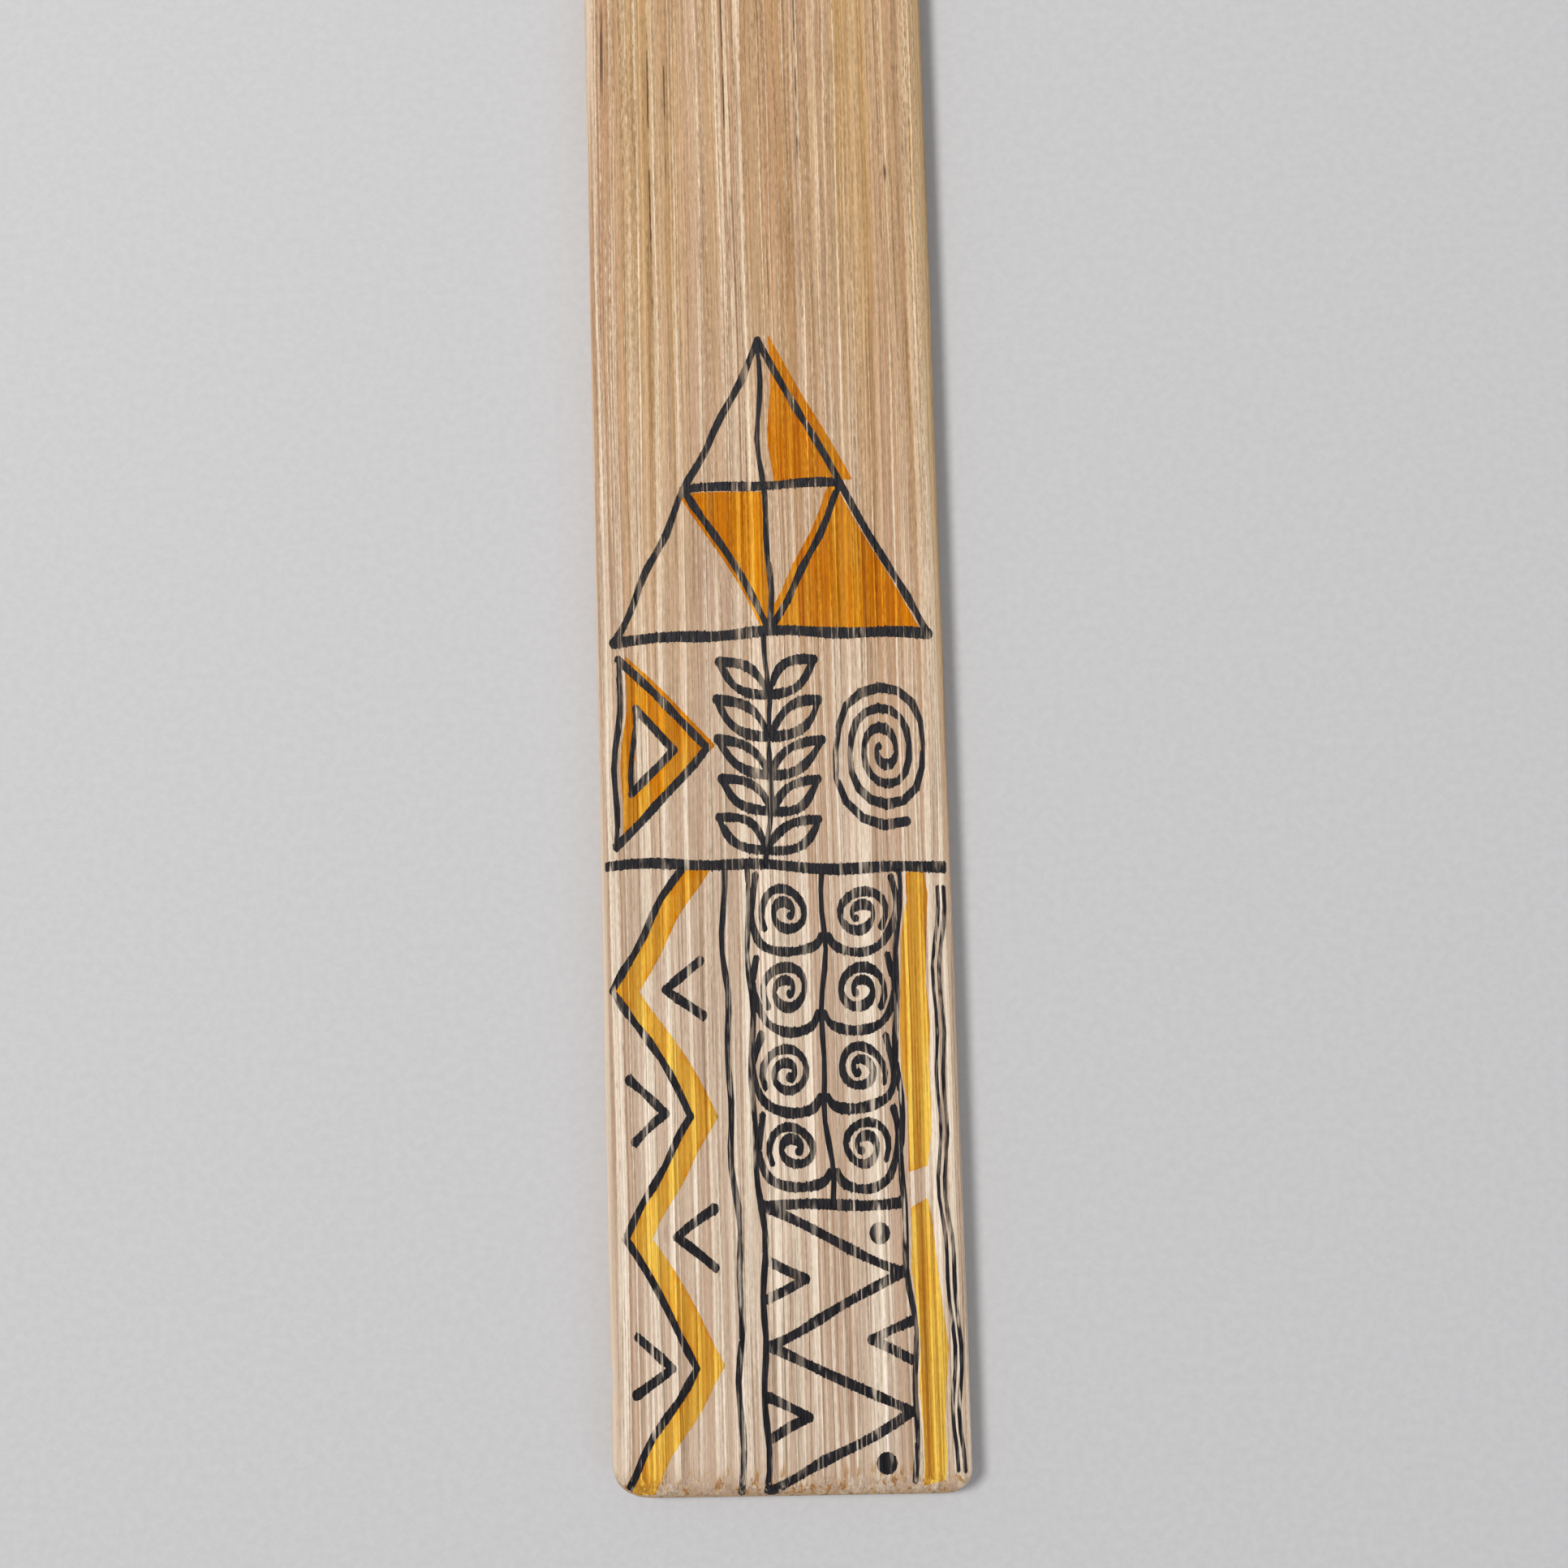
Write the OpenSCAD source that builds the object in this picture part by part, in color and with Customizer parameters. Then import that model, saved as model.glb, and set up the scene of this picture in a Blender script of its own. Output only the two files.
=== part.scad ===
// Bone folder: a flat bamboo strip for creasing paper, with a hand-drawn pattern on its face.
//
// The strip lies flat on z = 0 with its length along Y. The square end is at -Y and the thin
// creasing tip at +Y. The origin is under the middle of the strip.
// The pattern is set out in its own plane: x across the strip from the middle line, and y along
// the strip from the square end. It is a plain one of straight columns and bands, filled with
// regular figures: facets, scrolls, petals, chevrons and zigzags. Each figure is a dry film of ink.

/* [Strip] */
// Length from the square end to the tip
strip_length = 152; // [145:1:180]
// Width of the strip; the pattern grows with it
strip_width = 25; // [22:0.5:28]
// Thickness of the flat part
strip_thickness = 3; // [2.6:0.1:4]
// Width of the eased long edges
edge_ease = 0.4; // [0.2:0.1:0.6]

/* [Square end] */
// Corner radius at -X
left_corner_radius = 2.8; // [2:0.1:3.5]
// Corner radius at +X
right_corner_radius = 2.1; // [1.5:0.1:3.5]
// Length over which the top is sanded down to the end
roll_length = 2.2; // [1.6:0.1:3]
// How far the top drops by the end face
roll_drop = 1.2; // [0.6:0.1:1.4]

/* [Creasing tip] */
// Length over which the sides curve in
tip_length = 38; // [30:1:44]
// Radius of the nose
nose_radius = 4; // [3:0.5:6]
// Radius of the long curve that thins the top towards the tip
thinning_radius = 500; // [500:20:900]

/* [Ink] */
// Pen line width along the grain
pen_along = 0.32; // [0.28:0.02:0.4]
// Pen line width across the grain
pen_across = 0.55; // [0.45:0.05:0.65]
// How much the pen line swells and thins, as a share of its width
pen_swell = 0.12; // [0:0.02:0.16]
// How far the hand wanders off the true line
hand_wander = 0.12; // [0:0.02:0.16]
// Thickness of the black film
pen_film = 0.05; // [0.04:0.01:0.08]
// Thickness of the amber film
marker_film = 0.04; // [0.03:0.01:0.06]

/* [Hidden] */

// The pattern is drawn for a strip of this width
drawn_width = 25;
drawing_scale = strip_width / drawn_width;
half_width = strip_width / 2;
end_y = -strip_length / 2;
tip_y = strip_length / 2;
taper_y = tip_y - tip_length;
roll_radius = (roll_length * roll_length + roll_drop * roll_drop) / (2 * roll_drop);
// Each side of the tip is an arc that leaves the strip's side smoothly and runs into the nose
nose_y = tip_y - nose_radius;
side_run = nose_y - taper_y;
side_radius = (side_run * side_run / (half_width - nose_radius) + half_width + nose_radius) / 2;
side_sweep = asin(side_run / (side_radius - nose_radius));
side_steps = 12;
nose_steps = 10;
// Facets of the full circles that the sanded corners, the sanded end and the thinning curve are cut from
corner_facets = 64;
roll_facets = 96;
thinning_facets = 720;
// Spare height and length on shapes that only cut
spare = 1;
// Slivers of film narrower than twice this are left out
sliver = 0.04;
// The pen blots a little where it is set down and lifted
end_blot = 1.1;
// How much wider the hand drifts than it shakes
hand_drift = 2.2;
ink_colour = "#26242a";
marker_colour = "#dd9411";

// ---- Curves of the pattern ----

// A point between b and c on the smooth curve through a, b, c and d
function between(a, b, c, d, t) =
    0.5 * (2 * b + (c - a) * t + (2 * a - 5 * b + 4 * c - d) * t * t
        + (3 * b - a - 3 * c + d) * t * t * t);
// A smooth open curve through the points p
function curve(p, steps = 4) =
    let (last = len(p) - 1)
    concat(
        [for (i = [0 : last - 1], s = [0 : steps - 1])
            between(p[max(i - 1, 0)], p[i], p[i + 1], p[min(i + 2, last)], s / steps)],
        [p[last]]);
// A straight line from a to b, in pieces of about 1.5 mm so that the hand can wander
function straight(a, b) =
    let (n = max(2, ceil(norm(b - a) / 1.5)))
    [for (i = [0 : n]) a + (b - a) * i / n];
// A spiral about c, tall times as high as it is wide, from radius r0 at angle a0 out to r1.
// It turns anticlockwise, or clockwise where side is -1.
function scroll(c, r0, r1, a0, turns, tall = 1, side = 1) =
    let (n = ceil(turns * 16))
    [for (i = [0 : n])
        let (r = r0 + (r1 - r0) * i / n, a = a0 + 360 * turns * i / n)
        c + [side * r * cos(a), r * tall * sin(a)]];
// One side of a petal from a to b that bulges to the left by w, or to the right where w is negative
function petal_side(a, b, w) =
    let (d = b - a, n = ceil(norm(d) * 1.6))
    [for (i = [0 : n]) a + d * i / n + w * sin(180 * i / n) * [-d[1], d[0]] / norm(d)];

// ---- Pen and marker ----

// Unit direction of the line p at its point i
function heading(p, i) =
    let (d = p[min(i + 1, len(p) - 1)] - p[max(i - 1, 0)])
    d / norm(d);
// Where a hand puts the points p. Lines that meet at a point still meet there.
// The short waves are the hand's shake and the long ones are its drift, with their phases in degrees
// for each millimetre. The waves are unrelated, so the shake doesn't repeat.
function by_hand(p) =
    [for (q = p) q + hand_wander * [
        sin(47 * q[1] + 31 * q[0]) + sin(23 * q[1] - 17 * q[0]) + hand_drift * sin(8 * q[1] + 5 * q[0]),
        sin(41 * q[0] + 19 * q[1]) + sin(13 * q[0] - 29 * q[1]) + hand_drift * sin(9 * q[0] - 4 * q[1])]];
// Half the line's width at q with heading h: thin along the grain, broad across it
function half_pen(q, h) =
    (pen_along + (pen_across - pen_along) * abs(h[0])) / 2
        * (1 + pen_swell * sin(190 * q[0]) + pen_swell * sin(150 * q[1]));

// One pen line with round ends
module pen(line, weight = 1) {
    p = by_hand(line);
    last = len(p) - 1;
    side = [for (i = [0 : last]) let (h = heading(p, i)) weight * half_pen(p[i], h) * [-h[1], h[0]]];
    polygon(concat([for (i = [0 : last]) p[i] + side[i]], [for (i = [last : -1 : 0]) p[i] - side[i]]));
    for (i = [0, last]) translate(p[i]) circle(r = norm(side[i]) * end_blot, $fn = 10);
}

// Pen lines straight from point to point
module pen_corners(p) {
    for (i = [0 : len(p) - 2]) pen(straight(p[i], p[i + 1]));
}

// An area filled in with the marker
module marker(p) {
    polygon(by_hand(p));
}

module petal(a, b, w) {
    pen(petal_side(a, b, w));
    pen(petal_side(a, b, -w));
}

// The face that takes the pattern: the strip's outline less its eased edges
module drawing_face() {
    translate([0, -end_y]) offset(delta = -edge_ease) plan();
}

// A film over the pattern figure given as child, lying on the strip's top
module film(thickness) {
    intersection() {
        translate([0, end_y, 0])
            linear_extrude(height = strip_thickness + spare)
                offset(delta = sliver) offset(delta = -sliver)
                    intersection() {
                        scale(drawing_scale) children();
                        drawing_face();
                    }
        top_layer(thickness);
    }
}

module pen_film() {
    color(ink_colour) film(pen_film) children();
}

module marker_film() {
    color(marker_colour) film(marker_film) children();
}

// ---- The strip ----

// Outline seen from above
module plan() {
    difference() {
        polygon(concat(
            [[-half_width, end_y], [half_width, end_y]],
            [for (i = [0 : side_steps])
                let (a = side_sweep * i / side_steps)
                [half_width - side_radius + side_radius * cos(a), taper_y + side_radius * sin(a)]],
            [for (i = [1 : nose_steps - 1])
                let (a = side_sweep + (180 - 2 * side_sweep) * i / nose_steps)
                [nose_radius * cos(a), nose_y + nose_radius * sin(a)]],
            [for (i = [side_steps : -1 : 0])
                let (a = side_sweep * i / side_steps)
                [side_radius - half_width - side_radius * cos(a), taper_y + side_radius * sin(a)]]));
        corner_waste(-1, left_corner_radius);
        corner_waste(1, right_corner_radius);
    }
}

// What is sanded off a square corner to leave radius r
module corner_waste(side, r) {
    translate([side * (half_width - r), end_y + r])
        difference() {
            translate([side > 0 ? 0 : -r - spare, -r - spare]) square(r + spare);
            circle(r, $fn = corner_facets);
        }
}

// Outline seen from the side, with the length along x and the top raised by rise
module side_view(rise = 0) {
    top = strip_thickness + rise;
    // square end, sanded down in one arc
    intersection() {
        translate([end_y, 0]) square([roll_length, top]);
        translate([end_y + roll_length, strip_thickness - roll_radius])
            circle(roll_radius + rise, $fn = roll_facets);
    }
    translate([end_y + roll_length, 0]) square([taper_y - end_y - roll_length, top]);
    // creasing tip, thinned in one long arc
    intersection() {
        translate([taper_y, 0]) square([tip_length, top]);
        translate([taper_y, strip_thickness - thinning_radius])
            circle(thinning_radius + rise, $fn = thinning_facets);
    }
}

module across(depth) {
    rotate([90, 0, 90]) translate([0, 0, -depth / 2]) linear_extrude(height = depth) children();
}

// A layer of the given thickness over the whole top, over the sanded end too
module top_layer(thickness) {
    across(strip_width + 2 * spare)
        difference() {
            side_view(thickness);
            side_view();
        }
}

// Section of the strip with its four long edges eased
module section() {
    x = half_width;
    z = strip_thickness;
    e = edge_ease;
    polygon([[-x + e, 0], [x - e, 0], [x, e], [x, z - e], [x - e, z], [-x + e, z], [-x, z - e], [-x, e]]);
}

module bamboo_strip() {
    color("#cfae86")
        intersection() {
            linear_extrude(height = strip_thickness) plan();
            across(strip_width) side_view();
            translate([0, tip_y, 0]) rotate([90, 0, 0]) linear_extrude(height = strip_length) section();
        }
}

// ---- Layout of the pattern ----

// Height of the line under the gable's band of figures, and where the columns below it end
cross_y = 44;
foot_y = 1;
// Lines down the strip that bound the columns
long_line_xs = [-3.5, -1.8];
divider_x = 3.35;
edge_line_x = 8.5;
fine_line_xs = [11.2, 11.65];

// A pen line round the corners p and back to the first
module pen_closed(p) {
    pen_corners(concat(p, [p[0]]));
}

// Marker laid over the corners p, but slipped a little to one side
module slipped_marker(p, slip) {
    n = len(p);
    translate(slip) marker([for (i = [0 : n - 1]) each straight(p[i], p[(i + 1) % n])]);
}

// ---- Gable of facets ----

gable_apex = [0, 82];
gable_left = [-11.4, 60.5];
gable_right = [11.4, 60.5];
gable_base = (gable_left + gable_right) / 2;
tie_left = (gable_apex + gable_left) / 2;
tie_right = (gable_apex + gable_right) / 2;
tie_middle = (tie_left + tie_right) / 2;

module gable_lines() {
    pen_closed([gable_apex, gable_left, gable_right]);
    pen_closed([tie_left, tie_right, gable_base]);
    pen_corners([gable_apex, gable_base]);
}

// Every other facet is filled, and the marker runs over a line in places
module gable_facets() {
    slipped_marker([gable_apex, tie_right, tie_middle], [0.8, 0.3]);
    slipped_marker([tie_left, tie_middle, gable_base], [-0.2, -0.5]);
    slipped_marker([tie_right, gable_right, gable_base], [-0.6, 0.3]);
}

// ---- Great scroll ----

module great_scroll_lines() {
    pen(scroll([7.7, 52.2], 0.4, 3.9, 150, 3.4, 1.4));
}

// ---- Sprig of petals ----

sprig_pairs = 5;
sprig_pitch = 2.8;
stem_x = -0.4;
// Where a petal's tip is, out from its foot and up, and how far its sides bulge
petal_run = [3.5, 2.4];
petal_bulge = 0.85;

module sprig_lines() {
    pen(straight([stem_x, 60], [stem_x, cross_y]));
    for (i = [0 : sprig_pairs - 1], side = [-1, 1]) {
        at = [stem_x, cross_y + 0.9 + sprig_pitch * i];
        petal(at, at + [side * petal_run[0], petal_run[1]], petal_bulge);
    }
}

// ---- Nested triangles ----

outer_triangle = [[-11.1, 59.2], [-11.1, 45.4], [-4.8, 52.3]];
triangle_centre = (outer_triangle[0] + outer_triangle[1] + outer_triangle[2]) / 3;
inner_share = 0.44;
inner_triangle = [for (q = outer_triangle) triangle_centre + inner_share * (q - triangle_centre)];

module nested_triangle_lines() {
    pen_closed(outer_triangle);
    pen_closed(inner_triangle);
}

module nested_triangle_fill() {
    difference() {
        slipped_marker(outer_triangle, [0.5, 0.2]);
        marker(inner_triangle);
    }
}

// ---- Lines across and along ----

module cross_line() {
    pen(straight([-11.7, cross_y], [11.7, cross_y]));
}

module long_lines() {
    for (x = long_line_xs) pen(straight([x, cross_y], [x, foot_y]));
}

module divider_line() {
    pen(straight([divider_x, cross_y], [divider_x, panel_y]));
}

module edge_lines() {
    pen(straight([edge_line_x, cross_y], [edge_line_x, foot_y]));
    for (x = fine_line_xs) pen(straight([x, cross_y - 1.6], [x, foot_y + 0.6]), 0.6);
}

// ---- Two columns of scrolls ----

scroll_rows = 4;
scroll_pitch = 5.5;
scroll_radius = 1.8;
// Distance of the columns from the divider
scroll_out = 2.55;

// Column of scrolls on the side given, each with a crest that swings round it and under it
module scroll_column(side) {
    for (i = [0 : scroll_rows - 1]) {
        c = [divider_x + side * scroll_out, cross_y - 3.2 - scroll_pitch * i];
        pen(scroll(c, 0.35, scroll_radius, -40, 1.7, 1.08, -side));
        crest = [[2, 2.4], [2.4, 0], [1.7, -2.1], [0, -2.8], [-1.7, -2.5], [-2.3, -1.7]];
        pen(curve([for (q = crest) c + [side * q[0], q[1]]]));
    }
}

// ---- Wide zigzag ----

zigzag_turns = 5;
zigzag_left = -11.4;
zigzag_right = -6.4;
zigzag_pitch = (cross_y - foot_y) / zigzag_turns;
zigzag_points = [for (i = [0 : zigzag_turns])
    [i % 2 == 0 ? zigzag_right : zigzag_left, cross_y - zigzag_pitch * i]];
band_width = 1.9;

module wide_zigzag_lines() {
    pen_corners(zigzag_points);
}

// A band of marker along the zigzag's right side
module zigzag_band() {
    edge = [for (i = [0 : zigzag_turns - 1]) each straight(zigzag_points[i], zigzag_points[i + 1])];
    marker(concat(edge, [for (j = [len(edge) - 1 : -1 : 0]) edge[j] + [band_width, 0]]));
}

// ---- Chevrons in the zigzag's notches ----

chevron_gap = 1.8;
chevron_w = 2.5;
chevron_h = 4;

// A chevron with its point at p that opens over width w and height h
module chevron(p, w, h) {
    pen_corners([p + [w, h / 2], p, p + [w, -h / 2]]);
}

module chevron_lines() {
    for (i = [1 : zigzag_turns - 1])
        if (i % 2 == 0) chevron(zigzag_points[i] - [chevron_gap, 0], -chevron_w, chevron_h);
        else chevron(zigzag_points[i] + [band_width + chevron_gap, 0], chevron_w, chevron_h);
}

// ---- Zigzag panel ----

panel_y = 20.4;
panel_turns = 4;
panel_left = -1.5;
panel_right = 8.2;
panel_pitch = (panel_y - foot_y) / panel_turns;
panel_points = [for (i = [0 : panel_turns])
    [i % 2 == 0 ? panel_left : panel_right, panel_y - panel_pitch * i]];

small_triangle = 2.6;
dot_x = 6.6;
dot_d = 1.4;

module panel_zigzag_lines() {
    pen(straight(panel_points[0], [panel_right, panel_y]));
    pen_corners(panel_points);
}

module panel_triangles() {
    for (i = [1 : 2 : panel_turns - 1]) {
        y = panel_points[i][1];
        chevron([panel_left + small_triangle, y], -small_triangle, small_triangle);
    }
    for (i = [2 : 2 : panel_turns - 2])
        chevron([panel_right - small_triangle, panel_points[i][1]], small_triangle, small_triangle);
    for (y = [panel_y - 2.2, foot_y + 1.6]) translate([dot_x, y]) circle(d = dot_d, $fn = 12);
}

// ---- Stripes of marker down the right side ----

// One stroke of the marker from height y1 down to y0, wide in the middle
module marker_stroke(y1, y0) {
    middle = (y0 + y1) / 2;
    marker(concat(
        curve([[9, y1], [8.8, middle], [9.1, y0]]),
        curve([[10.4, y0 + 0.4], [10.7, middle], [10.3, y1 + 0.5]])));
}

module upper_stripe() {
    marker_stroke(cross_y - 0.6, panel_y + 2);
}

module lower_stripe() {
    marker_stroke(panel_y - 0.5, foot_y - 0.4);
}

// ---- Nodes ----

module ink_gable() {
    pen_film() gable_lines();
}

module ink_great_scroll() {
    pen_film() great_scroll_lines();
}

module ink_petal_sprig() {
    pen_film() difference() {
        sprig_lines();
        gable_lines();
        great_scroll_lines();
    }
}

module ink_nested_triangles() {
    pen_film() difference() {
        nested_triangle_lines();
        sprig_lines();
    }
}

module ink_cross_line() {
    pen_film() difference() {
        cross_line();
        sprig_lines();
    }
}

module ink_long_lines() {
    pen_film() difference() {
        long_lines();
        cross_line();
    }
}

module ink_scroll_divider() {
    pen_film() difference() {
        divider_line();
        cross_line();
    }
}

module ink_edge_lines() {
    pen_film() difference() {
        edge_lines();
        cross_line();
    }
}

module ink_scrolls_left() {
    pen_film() difference() {
        scroll_column(-1);
        divider_line();
        long_lines();
        cross_line();
    }
}

module ink_scrolls_right() {
    pen_film() difference() {
        scroll_column(1);
        divider_line();
        edge_lines();
        cross_line();
    }
}

module ink_wide_zigzag() {
    pen_film() difference() {
        wide_zigzag_lines();
        cross_line();
    }
}

module ink_chevrons() {
    pen_film() difference() {
        chevron_lines();
        long_lines();
    }
}

module ink_panel_zigzag() {
    pen_film() difference() {
        panel_zigzag_lines();
        long_lines();
        divider_line();
        edge_lines();
    }
}

module ink_panel_triangles() {
    pen_film() difference() {
        panel_triangles();
        long_lines();
        edge_lines();
        panel_zigzag_lines();
    }
}

module marker_gable_facets() {
    marker_film() difference() {
        gable_facets();
        gable_lines();
    }
}

module marker_nested_triangles() {
    marker_film() difference() {
        nested_triangle_fill();
        nested_triangle_lines();
        sprig_lines();
    }
}

module marker_zigzag_band() {
    marker_film() difference() {
        zigzag_band();
        wide_zigzag_lines();
        cross_line();
        long_lines();
        chevron_lines();
    }
}

module marker_upper_stripe() {
    marker_film() difference() {
        upper_stripe();
        edge_lines();
        cross_line();
    }
}

module marker_lower_stripe() {
    marker_film() difference() {
        lower_stripe();
        edge_lines();
    }
}

bamboo_strip();
ink_gable();
ink_great_scroll();
ink_petal_sprig();
ink_nested_triangles();
ink_cross_line();
ink_scrolls_left();
ink_scrolls_right();
ink_scroll_divider();
ink_wide_zigzag();
ink_chevrons();
ink_long_lines();
ink_panel_zigzag();
ink_panel_triangles();
ink_edge_lines();
marker_gable_facets();
marker_nested_triangles();
marker_zigzag_band();
marker_upper_stripe();
marker_lower_stripe();
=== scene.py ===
"""Looks of a bamboo folding strip with a pen and marker pattern.

Lengths in the shape and relief functions are millimetres, in the CAD frame. Meshes are made in metres.
"""

import math

import bmesh
import bpy
import numpy as np
from mathutils import Euler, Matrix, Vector


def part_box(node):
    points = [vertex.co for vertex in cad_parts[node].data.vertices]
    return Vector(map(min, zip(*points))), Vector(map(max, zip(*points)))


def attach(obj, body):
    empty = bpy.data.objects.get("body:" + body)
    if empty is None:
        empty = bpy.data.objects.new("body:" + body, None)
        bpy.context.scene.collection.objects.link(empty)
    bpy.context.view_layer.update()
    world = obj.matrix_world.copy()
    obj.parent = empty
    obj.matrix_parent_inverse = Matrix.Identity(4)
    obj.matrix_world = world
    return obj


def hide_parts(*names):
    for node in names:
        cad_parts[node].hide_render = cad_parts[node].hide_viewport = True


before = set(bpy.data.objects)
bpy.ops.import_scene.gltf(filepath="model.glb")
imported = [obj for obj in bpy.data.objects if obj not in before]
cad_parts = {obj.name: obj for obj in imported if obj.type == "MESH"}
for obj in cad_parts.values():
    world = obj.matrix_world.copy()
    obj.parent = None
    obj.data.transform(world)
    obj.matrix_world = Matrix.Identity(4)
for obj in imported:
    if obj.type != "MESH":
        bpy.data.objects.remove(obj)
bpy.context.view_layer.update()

MM = 0.001
SEED = 11
rng = np.random.default_rng(SEED)


def add_object(name, data):
    thing = bpy.data.objects.new(name, data)
    bpy.context.collection.objects.link(thing)
    return thing


# ---- Camera ----

# Place in mm, and turn about x, y and z in degrees
CAMERA_PLACE = (4.35, -34.62, 114.59)
CAMERA_TURN = (4.27, 1.94, -1.62)
SENSOR_WIDTH = 36
FOCAL_LENGTH = 36
# The nearest and furthest that it sees, in metres
CLIP_START = 0.005
CLIP_END = 10


def add_camera():
    """Almost straight down over the square end, so close that the tip runs out of the top of the view."""
    data = bpy.data.cameras.new("camera")
    data.sensor_width = SENSOR_WIDTH
    data.lens = FOCAL_LENGTH
    data.clip_start = CLIP_START
    data.clip_end = CLIP_END
    camera = add_object("camera", data)
    camera.location = Vector(CAMERA_PLACE) * MM
    camera.rotation_euler = Euler([math.radians(angle) for angle in CAMERA_TURN])
    bpy.context.scene.camera = camera


add_camera()


# ---- Shape of the strip ----

strip_low, strip_high = (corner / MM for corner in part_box("bamboo_strip"))
HALF = strip_high.x
END = strip_low.y
TIP = strip_high.y
TOP = strip_high.z

# The CAD strip's own corner radii, sanded end, tip and eased edges
CORNER_LEFT = 2.8
CORNER_RIGHT = 2.1
ROLL_LENGTH = 2.2
ROLL_DROP = 1.2
TIP_LENGTH = 38
NOSE_RADIUS = 4
THINNING_RADIUS = 500
ARRIS = 0.4
# At the nose the arrises grow until they nearly meet
NOSE_ARRIS = 0.7

TAPER = TIP - TIP_LENGTH
NOSE = TIP - NOSE_RADIUS
SIDE_RADIUS = ((NOSE - TAPER) ** 2 / (HALF - NOSE_RADIUS) + HALF + NOSE_RADIUS) / 2
SIDE_SWEEP = math.asin((NOSE - TAPER) / (SIDE_RADIUS - NOSE_RADIUS))
NOSE_JOIN = NOSE + NOSE_RADIUS * math.sin(SIDE_SWEEP)
ROLL_RADIUS = (ROLL_LENGTH ** 2 + ROLL_DROP ** 2) / (2 * ROLL_DROP)


def smooth(low, high, value):
    """0 below low, 1 above high, and a smooth rise between."""
    t = np.clip((value - low) / (high - low), 0, 1)
    return t * t * (3 - 2 * t)


def arc(radius, run):
    """How far an arc of the radius has fallen away after the run."""
    return radius - np.sqrt(np.maximum(radius ** 2 - run ** 2, 0))


def half_width(y, side):
    """Distance from the middle line to the outline at y, on the left (side -1) or the right (1)."""
    corner = CORNER_LEFT if side < 0 else CORNER_RIGHT
    width = HALF - arc(corner, np.maximum(END + corner - y, 0))
    width = width - arc(SIDE_RADIUS, np.maximum(np.minimum(y, NOSE_JOIN) - TAPER, 0))
    nose = np.sqrt(np.maximum(NOSE_RADIUS ** 2 - (y - NOSE) ** 2, 0))
    return np.where(y > NOSE_JOIN, nose, width)


def top_height(y):
    """Height of the top on the middle line: sanded down at the square end, thinned towards the tip."""
    rolled = arc(ROLL_RADIUS, np.maximum(END + ROLL_LENGTH - y, 0))
    thinned = arc(THINNING_RADIUS, np.maximum(y - TAPER, 0))
    return TOP - rolled - thinned


def edge_distance(x, y):
    """Distance from a point of the plan to the outline."""
    side = np.where(x < 0, half_width(y, -1), half_width(y, 1)) - np.abs(x)
    slope = np.clip((y - TAPER) / SIDE_RADIUS, 0, 1)
    distance = np.minimum(side * np.sqrt(1 - slope ** 2), y - END)
    corner = np.where(x < 0, CORNER_LEFT, CORNER_RIGHT)
    out_x = np.abs(x) - (HALF - corner)
    out_y = END + corner - y
    in_corner = (out_x > 0) & (out_y > 0)
    distance = np.where(in_corner, corner - np.hypot(out_x, out_y), distance)
    nose = NOSE_RADIUS - np.hypot(x, y - NOSE)
    return np.maximum(np.where(y > NOSE_JOIN, nose, distance), 0)


# ---- Relief of the wood ----

# How the fibres sway: size in mm, the wave's length over a full turn's 6.28, and its turn for each mm across
SWAYS = ((0.12, 23.0, 0.45), (0.04, 7.3, 1.1), (0.015, 2.7, 2.3))
# Cracks along the strip: x, from y, to y, half their width, depth
CRACKS = [
    (-11.2, 24, 34, 0.11, 0.06),
    (-7.9, 6, 33, 0.08, 0.05),
    (-6.7, 17, 31, 0.06, 0.05),
    (-2.2, 20, 52, 0.07, 0.05),
    (0.8, 7, 15, 0.05, 0.04),
    (3.2, 18, 58, 0.07, 0.05),
    (9.4, 17.5, 19.8, 0.13, 0.08),
    (7.9, -18, -6, 0.05, 0.04),
    (-9.9, -30, -14, 0.05, 0.04),
]
CRACK_FADE = 4
# Fine grooves: how many, half their length, half their width, depth, and how they crowd towards the sides
FINE_GROOVES = 130
GROOVE_REACH = (8, 45)
GROOVE_HALF = (0.06, 0.11)
GROOVE_DEPTH = (0.008, 0.028)
GROOVE_CROWDING = 0.8
# Half the depth of the slow swells in the surface
SWELL = 0.012
# Distances in from the edge at which the relief starts and is full
RELIEF_MARGIN = (0.15, 0.9)
# Pits: their depth, and the distances in from the square end over which they fade, on the side of the strip
# and on the side of the end
PIT_DEPTH = 0.03
PITS_INNER = (2.8, 0.8)
PITS_OUTER = (0, 0.4)
# The arrises grow towards the nose between these y
ARRIS_ZONE = (TAPER + 10, TIP - 1)


def fine_grooves():
    """Narrow shallow grooves where the fibre bundles part, closer together towards the sides."""
    grooves = []
    for _ in range(FINE_GROOVES):
        place = rng.uniform(-1, 1)
        x = HALF * math.copysign(abs(place) ** GROOVE_CROWDING, place)
        middle = rng.uniform(END, TIP)
        reach = rng.uniform(*GROOVE_REACH)
        half, deep = rng.uniform(*GROOVE_HALF), rng.uniform(*GROOVE_DEPTH)
        grooves.append((x, middle - reach, middle + reach, half, deep))
    return grooves


GROOVES = CRACKS + fine_grooves()


def fibre_place(x, y):
    """Where across the strip the fibre at a point would lie if the grain were quite straight."""
    return x + sum(size * np.sin(y / wave + turn * x) for size, wave, turn in SWAYS)


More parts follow.
